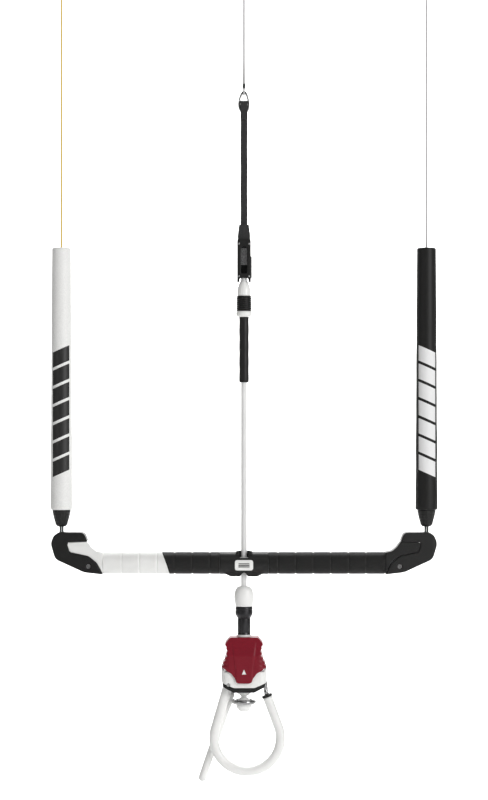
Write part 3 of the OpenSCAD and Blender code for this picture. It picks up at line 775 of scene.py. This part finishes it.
def make_strap(m):
    """The trim strap: two webbings sewn together, its sewn head, and the thimble above it."""
    low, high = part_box("trim_strap")
    half, z0, z1 = (high.x - low.x) / 2 / MM, low.z / MM, high.z / MM
    for k, (y0, y1) in enumerate(((-1.45, -0.08), (0.08, 1.45))):
        rows = []
        for z in np.linspace(z0, z1, 140):
            wander = 0.12 * math.sin(z * 0.11 + k)
            ring = []
            for j in range(28):
                a = 2 * math.pi * (j + 0.5) / 28
                u = math.copysign(abs(math.cos(a)) ** 0.45, math.cos(a)) * (half - 0.12)
                v = math.copysign(abs(math.sin(a)) ** 0.7, math.sin(a)) * (y1 - y0) / 2
                ring.append(((u + wander) * MM, (v + (y0 + y1) / 2) * MM, z * MM))
            rows.append(ring)
        place(grid_mesh(f"trim_strap_ply_{k}", rows), "thimble", m["webbing"], "webbing",
              *(["trim_strap"] if k else []))
    seam = [(x, -1.5, z, 0.0) for x in (-3.4, 3.4) for z in np.arange(z0 + 12, z1 - 1, 2.6)]
    stitches("trim_strap_seam", seam, "thimble", m)

    head = moulded("strap_head", 0.35, 9)
    place(head, "thimble", m["webbing"], "webbing", "strap_head")
    low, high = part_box("strap_head")
    z0 = low.z / MM
    bars = [(x, low.y / MM + 0.05, z0 + z, math.radians(90)) for x in (-2.6, -0.9, 0.9, 2.6)
            for z in np.arange(1.6, 9.0, 1.3)]
    stitches("strap_head_bartack", bars, "thimble", m)

    low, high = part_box("thimble")
    z0, z1 = low.z / MM, high.z / MM
    wire, half = 1.6, (high.x - low.x) / 2 / MM - 1.6
    route = []
    for t in np.linspace(0, 2 * math.pi, 97)[:-1]:
        z = z0 + wire + (z1 - z0 - 2 * wire) * (1 - math.cos(t)) / 2
        share = (1 - math.cos(t)) / 2
        route.append((half * math.sin(t) * (1.16 - 0.5 * share) * MM, 0, z * MM))
    groove = [(1.55, -1.0), (1.55, 0.1), (1.0, 0.75), (0.0, 0.95), (-1.0, 0.75), (-1.55, 0.1),
              (-1.55, -1.0), (-1.2, -1.05), (-0.8, -0.2), (0.0, 0.05), (0.8, -0.2), (1.2, -1.05)]
    outline = [(a * MM, 1.6 * b * MM) for a, b in groove]
    place(swept("thimble_ring", route, 0, closed=True, profile=outline), "thimble", m["steel"],
          "steel", "thimble")

    eye_z = z1 - wire
    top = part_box("front_line_eye")[1].z
    loop = [(0, 3.5 * MM * math.sin(t), (eye_z + 0.4 - 4.0 * math.cos(t)) * MM)
            for t in np.linspace(0, 2 * math.pi, 65)[:-1]]
    place(swept("front_eye_loop", loop, 1.3 * MM, 14, closed=True), "thimble", m["line_grey"],
          "line_grey", "front_line_eye")
    neck = [(0, 0, z) for z in np.linspace((eye_z + 3.6) * MM, top, 40)]
    place(swept("front_eye_splice", neck, lambda s: (2.0 - 0.42 * s) * MM, 18), "thimble",
          m["line_grey"], "line_grey")
    turns, start = 9, (eye_z + 5.2) * MM
    wrap = [(2.05 * MM * math.cos(t), 2.05 * MM * math.sin(t), start + 0.62 * MM * t / (2 * math.pi))
            for t in np.linspace(0, 2 * math.pi * turns, 24 * turns)]
    place(swept("front_eye_whipping", wrap, 0.32 * MM, 8), "thimble", m["leader_cord"],
          "leader_cord")


# ---- Quick release ----


def make_release(m):
    red = moulded("release_sleeve", 0.55, 8)

    def sides(x, y, z):
        """Ribs down both sides, and a raised panel down the front and the back."""
        edge = np.clip((np.abs(x) - 19) / 4, 0, 1)
        grip = np.clip((z - 131) / 4, 0, 1) * np.clip((166 - z) / 3, 0, 1)
        depth = -1.7 * edge * grip * (0.5 + 0.5 * np.cos((z - 133) * 2 * np.pi / 6.2))
        panel_half = 11.5 + 5.0 * np.clip((z - 128) / 40, 0, 1)
        face = np.clip((np.abs(y) - 15.5) / 3, 0, 1) * np.clip((z - 113) / 4, 0, 1)
        raised = 0.8 * face * np.clip((panel_half - np.abs(x)) / 1.4, 0, 1) * np.clip((171 - z) / 3, 0, 1)
        outside = np.hypot(x / 31.0, y / 21.0) > 0.62
        return np.stack([np.sign(x) * depth * outside, np.sign(y) * (raised - 0.8 * face) * outside,
                         np.zeros_like(x)], axis=1)

    shift(red, sides)
    place(red, "release_sleeve", m["red_sleeve"], "red_sleeve", "release_sleeve")
    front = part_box("release_sleeve")[0].y / MM
    corners = [(-2.9, 126.8), (2.9, 126.8), (0.0, 133.4)]
    verts = [(x * MM, y * MM, z * MM) for y in (front - 0.15, front + 1.2) for x, z in corners]
    arrow = mesh_object("release_arrow", verts,
                        [(0, 1, 2), (3, 5, 4), (0, 3, 4, 1), (1, 4, 5, 2), (2, 5, 3, 0)], False)
    place(arrow, "release_sleeve", m["white_shell"], "white_shell")

    for node, slot in (("collar_body", "white_shell"), ("base_plate", "black_shell")):
        place(moulded(node, 0.5, 6), "root", m[slot], slot, node)
    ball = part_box("stopper_ball")
    middle, r = (ball[0].z + ball[1].z) / 2 / MM, (ball[1].z - ball[0].z) / 2 / MM
    profile = [(0.01, middle - r + 1.0, 0), (4.2, middle - r + 1.0, 0.8)]
    for a in np.radians(np.arange(-62, 63, 4)):
        profile.append((r * math.cos(a) - (0.22 if abs(a) < 0.05 else 0), middle + r * math.sin(a), 0))
    profile += [(4.6, middle + r - 0.7, 0.6), (0.01, middle + r - 0.4, 0)]
    round_piece("stopper_ball_skin", profile, "root", m, "white_shell", "stopper_ball")
    low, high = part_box("safety_funnel")
    z0, z1 = low.z / MM, high.z / MM
    funnel = [(0.01, z0, 0), (4.2, z0, 0.2), (4.2, z0 + 0.9, 0.8), (7.0, z0 + 2.8, 2), (9.4, z0 + 4.7, 0.8),
              (9.8, z0 + 5.6, 0.4), (9.8, z1 - 0.2, 0.2), (0.01, z1, 0)]
    round_piece("safety_funnel_skin", funnel, "root", m, "white_shell", "safety_funnel")
    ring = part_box("leash_ring")
    z, wire = (ring[0].z + ring[1].z) / 2, (ring[1].z - ring[0].z) / 2
    r = ring[1].x - wire
    route = [(r * math.cos(t), r * math.sin(t), z) for t in np.linspace(0, 2 * math.pi, 129)[:-1]]
    place(swept("leash_ring_wire", route, wire, 28, closed=True), "leash_ring", m["steel"], "steel",
          "leash_ring")

    low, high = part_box("swivel_tube")
    r, z0, z1 = 8.75, low.z / MM, high.z / MM
    tube = [(6.0, z0, 0), (r, z0, 0.2), (r, 168, 0), (13, 168, 0.3), (13, 170, 0.3), (r, 170, 0),
            (r, 181, 0), (r - 0.15, 181.4, 0), (r - 0.15, 182.2, 0), (r, 182.6, 0), (r, z1 - 0.3, 0.2),
            (6.0, z1, 0)]
    round_piece("swivel_tube_skin", tube, "root", m, "black_metal", "swivel_tube")
    low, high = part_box("tube_ring")
    z0, z1 = low.z / MM, high.z / MM
    round_piece("tube_ring_skin", [(8.8, z0, 0), (9.6, z0, 0.2), (9.6, z1 - 0.6, 0.5),
                                   (9.1, z1, 0.4), (8.8, z1, 0)], "root", m, "white_shell",
                "tube_ring")
    low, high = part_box("swivel_collar")
    z0, z1 = low.z / MM, high.z / MM
    collar = [(6, z0, 0), (8.75, z0, 0.3), (11.5, z0 + 4.9, 1), (11.8, z0 + 6, 0.8),
              (11.8, z1 - 4.8, 0.2), (11.45, z1 - 4.5, 0.2), (11.45, z1 - 3.9, 0.2),
              (11.8, z1 - 3.6, 0.2), (11.8, z1 - 1, 0.8), (10.6, z1, 0.6), (4.4, z1, 0),
              (4.4, z1 - 2.6, 0), (9.5, z1 - 2.6, 0), (9.5, z0 + 4, 0), (6, z0 + 4, 0)]
    round_piece("swivel_collar_skin", collar, "root", m, "black_metal", "swivel_collar")
    low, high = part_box("swivel_dome")
    z0, z1 = low.z / MM, high.z / MM
    dome = [(4.1, z0, 0), (11.3, z0, 0.5), (11.7, z0 + 1.2, 0.6), (12.7, z0 + 5.5, 3),
            (13.45, z0 + 11.5, 5), (13.3, z0 + 17, 5), (11.6, z0 + 23, 5), (8.2, z1 - 0.4, 2.2),
            (6.0, z1, 1.0), (4.6, z1 - 1.2, 0.6), (4.1, z1 - 2, 0)]
    round_piece("swivel_dome_skin", dome, "upper", m, "white_shell", "swivel_dome")

    spring = frame["nodes"]["release_spring"].data.copy()
    coil = bpy.data.objects.new("release_spring_coil", spring)
    bpy.context.scene.collection.objects.link(coil)
    place(coil, "root", m["steel"], "steel", "release_spring")
    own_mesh(coil)


def make_loop(m):
    """The chicken loop, its collar and gate pin, and the finger with its strap."""
    tube, big = 6.5, 45.0                # radii of the tube and of the loop's round bottom
    centre = Vector((4.3, 0, 38.5))
    pivot, gate = Vector((-21, 0, 112)), Vector((31.8, 0, 94))

    def touch(p, turn):
        d = p - centre
        return math.atan2(d.z, d.x) + turn * math.acos(big / d.length)

    a0, a1 = touch(pivot, 1), touch(gate, -1) + 2 * math.pi
    left = centre + big * Vector((math.cos(a0), 0, math.sin(a0)))
    right = centre + big * Vector((math.cos(a1), 0, math.sin(a1)))
    route = [pivot.lerp(left, t) for t in np.linspace(0.0, 0.97, 30)]
    route += [centre + big * Vector((math.cos(a), 0, math.sin(a))) for a in np.linspace(a0, a1, 110)]
    route += [right.lerp(gate, t) for t in np.linspace(0.04, 1.0, 20)]
    skin = swept("chicken_loop_tube", [p * MM for p in route], tube * MM, 40)
    place(skin, "chicken_loop", m["loop_white"], "loop_white", "chicken_loop")
    up = (gate - right).normalized()
    start = gate + 0.1 * up
    collar = [start + up * t for t in (0, 0.01, 0.35, 0.9, 2.6, 3.0, 3.4, 3.42)]
    radii = [5.6, 6.4, 7.0, 7.2, 7.2, 7.0, 6.2, 4.6]
    skin = swept("loop_end_collar_skin", [p * MM for p in collar],
                 lambda s: radii[round(s * 7)] * MM, 48)
    place(crisp(skin, 50), "chicken_loop", m["black_shell"], "black_shell", "loop_end_collar")
    pin_start, pin_end = gate + 3.45 * up, Vector((27.8, 0, 116))
    route = [pin_start.lerp(pin_end, t) for t in (0, 0.01, 0.05, 0.3, 0.32, 0.36, 0.38, 0.8, 0.96, 0.99, 1)]
    radii = [2.6, 2.9, 3.1, 3.1, 2.8, 2.8, 3.1, 3.1, 3.1, 2.8, 2.0]
    skin = swept("gate_pin_skin", [p * MM for p in route], lambda s: radii[round(s * 10)] * MM, 32)
    place(crisp(skin, 50), "chicken_loop", m["steel"], "steel", "gate_pin")

    top, tip, r = Vector((-18.1, 12.8, 95.7)), Vector((-56.5, 12.8, -17)), 5.4
    axis = (tip - top).normalized()
    route, radii = [], []
    for a in np.linspace(0, 90, 9):
        route.append(top - axis * r * math.cos(math.radians(a)))
        radii.append(max(0.15, r * math.sin(math.radians(a))))
    for t in np.linspace(0, 1, 40)[1:-1]:
        route.append(top.lerp(tip, t))
        radii.append(r - 0.12 * math.exp(-((t - 0.2) / 0.01) ** 2))
    for a in np.linspace(0, 90, 9):
        route.append(tip + axis * r * math.sin(math.radians(a)))
        radii.append(max(0.15, r * math.cos(math.radians(a))))
    count = len(route) - 1
    skin = swept("finger_tube", [p * MM for p in route], lambda s: radii[round(s * count)] * MM, 40)
    place(skin, "finger", m["loop_white"], "loop_white", "finger")
    band = moulded("finger_strap", 0.3, 4)
    place(band, "finger", m["loop_white"], "loop_white", "finger_strap")


def finish_cad(m):
    """Materials for the CAD nodes that show as they are."""
    slots = {p["node"]: p["material_slot"] for p in frame["record"]["subparts"]}
    for name, thing in frame["nodes"].items():
        thing.data.materials.clear()
        thing.data.materials.append(m[slots[name]])
        if name in ("end_screws", "cleat_jaw", "ball_bushing", "core_left", "core_right"):
            edge = thing.modifiers.new("edge", "BEVEL")
            edge.width = 0.2 * MM
            edge.segments = 2
            edge.limit_method = "ANGLE"


# ---- The scene ----

LIGHTS = [  # name, place, size, power, what it points at
    ("key", (2.1, -2.3, 1.3), (1.2, 1.6), 51, (0, 0, 0.5)),
    ("fill", (-2.4, -2.4, 0.8), (1.2, 2.0), 7, (0, 0, 0.5)),
    ("top", (0.2, -1.6, 2.4), (2.0, 0.8), 7, (0, 0, 0.5)),
    ("low", (0.5, -1.6, -0.25), (1.6, 0.4), 2, (0, 0, 0.5)),
    ("backdrop", (0.0, 1.5, 2.4), (1.8, 0.6), 130, (0.0, 3.0, 0.4)),
]
SKY = 0.22                      # strength of the white surroundings

make_camera()
make_stage()
for light in LIGHTS:
    make_light(*light)
world = bpy.data.worlds.new("studio")
world.use_nodes = True
world.node_tree.nodes["Background"].inputs["Color"].default_value = (1.0, 1.0, 1.0, 1.0)
world.node_tree.nodes["Background"].inputs["Strength"].default_value = SKY
bpy.context.scene.world = world
bpy.context.scene.view_settings.view_transform = "Standard"

materials = all_materials()
make_lines(materials)
for which in (-1, 1):
    make_float(which, materials)
make_bar(materials)
make_upper(materials)
make_strap(materials)
make_release(materials)
make_loop(materials)
finish_cad(materials)
